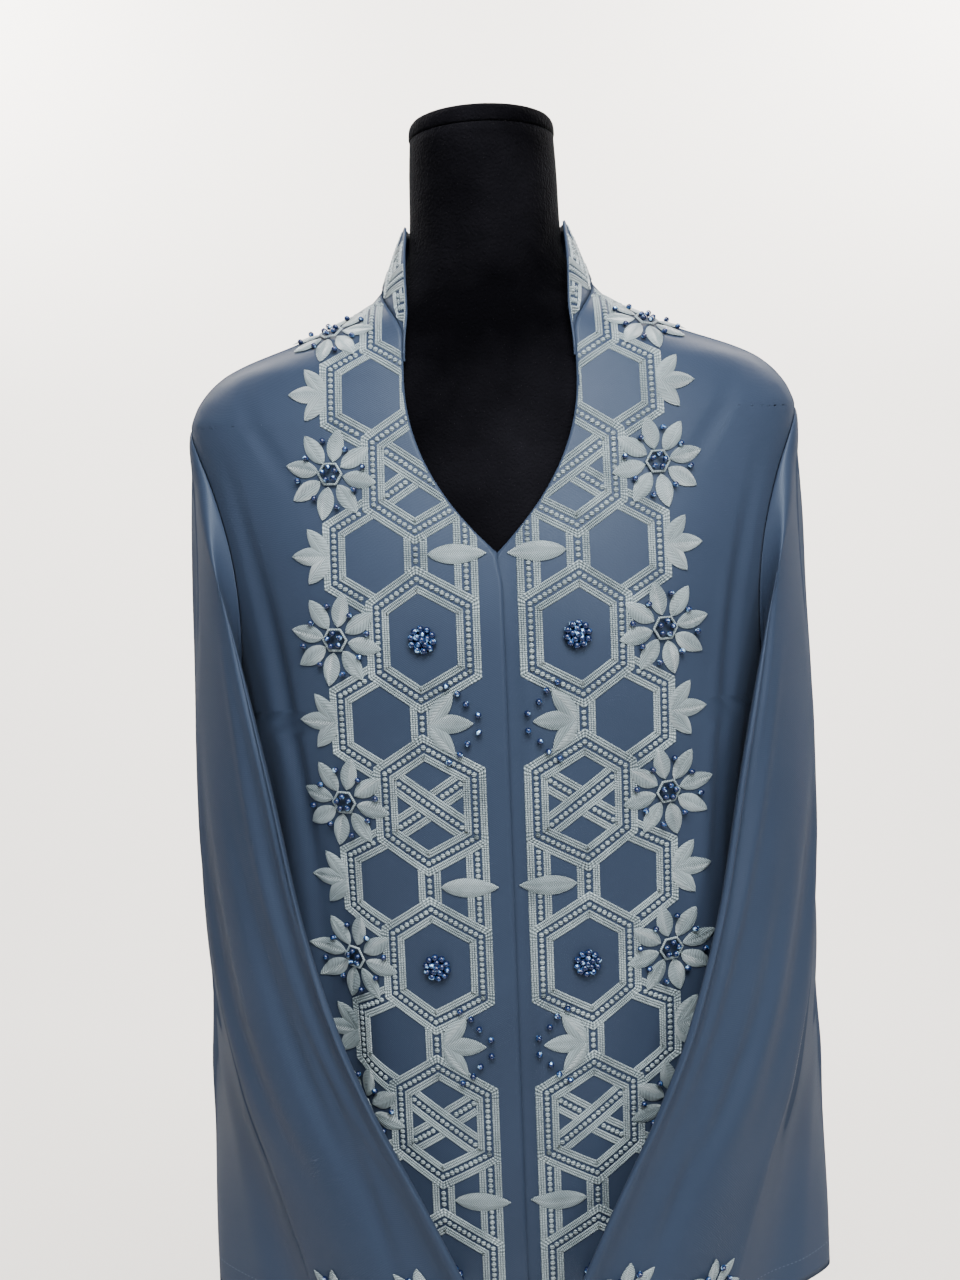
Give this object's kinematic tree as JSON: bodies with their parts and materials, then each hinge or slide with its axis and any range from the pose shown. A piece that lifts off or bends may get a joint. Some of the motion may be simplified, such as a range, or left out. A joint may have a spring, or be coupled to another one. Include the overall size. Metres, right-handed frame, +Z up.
{
  "type": "abaya on a limbless dress form",
  "caption": "Full-length open abaya with long wide sleeves and a standing collar band, on a velvet-covered limbless dress form with a round floor stand.",
  "frame": {"origin": "on the floor under the middle of the whole part", "axes": "+Z up, -Y the wearer's front, +X the wearer's left"},
  "size_m": [0.561, 0.3932, 1.6133],
  "materials": {
    "cloth": "soft satin crepe, steel blue",
    "velvet": "black velvet",
    "embroidery": "silver grey satin stitch",
    "beads": "lustrous navy glass beads",
    "stand_metal": "satin steel"
  },
  "bodies": {
    "root": {"abaya_front_right": "cloth", "abaya_front_left": "cloth", "abaya_back": "cloth", "abaya_sleeve_right": "cloth", "abaya_sleeve_left": "cloth", "abaya_collar": "cloth", "form_torso": "velvet", "form_neck_cap": "velvet", "stand_socket": "stand_metal", "stand_pole": "stand_metal", "stand_base": "stand_metal"}
  },
  "joints": []
}
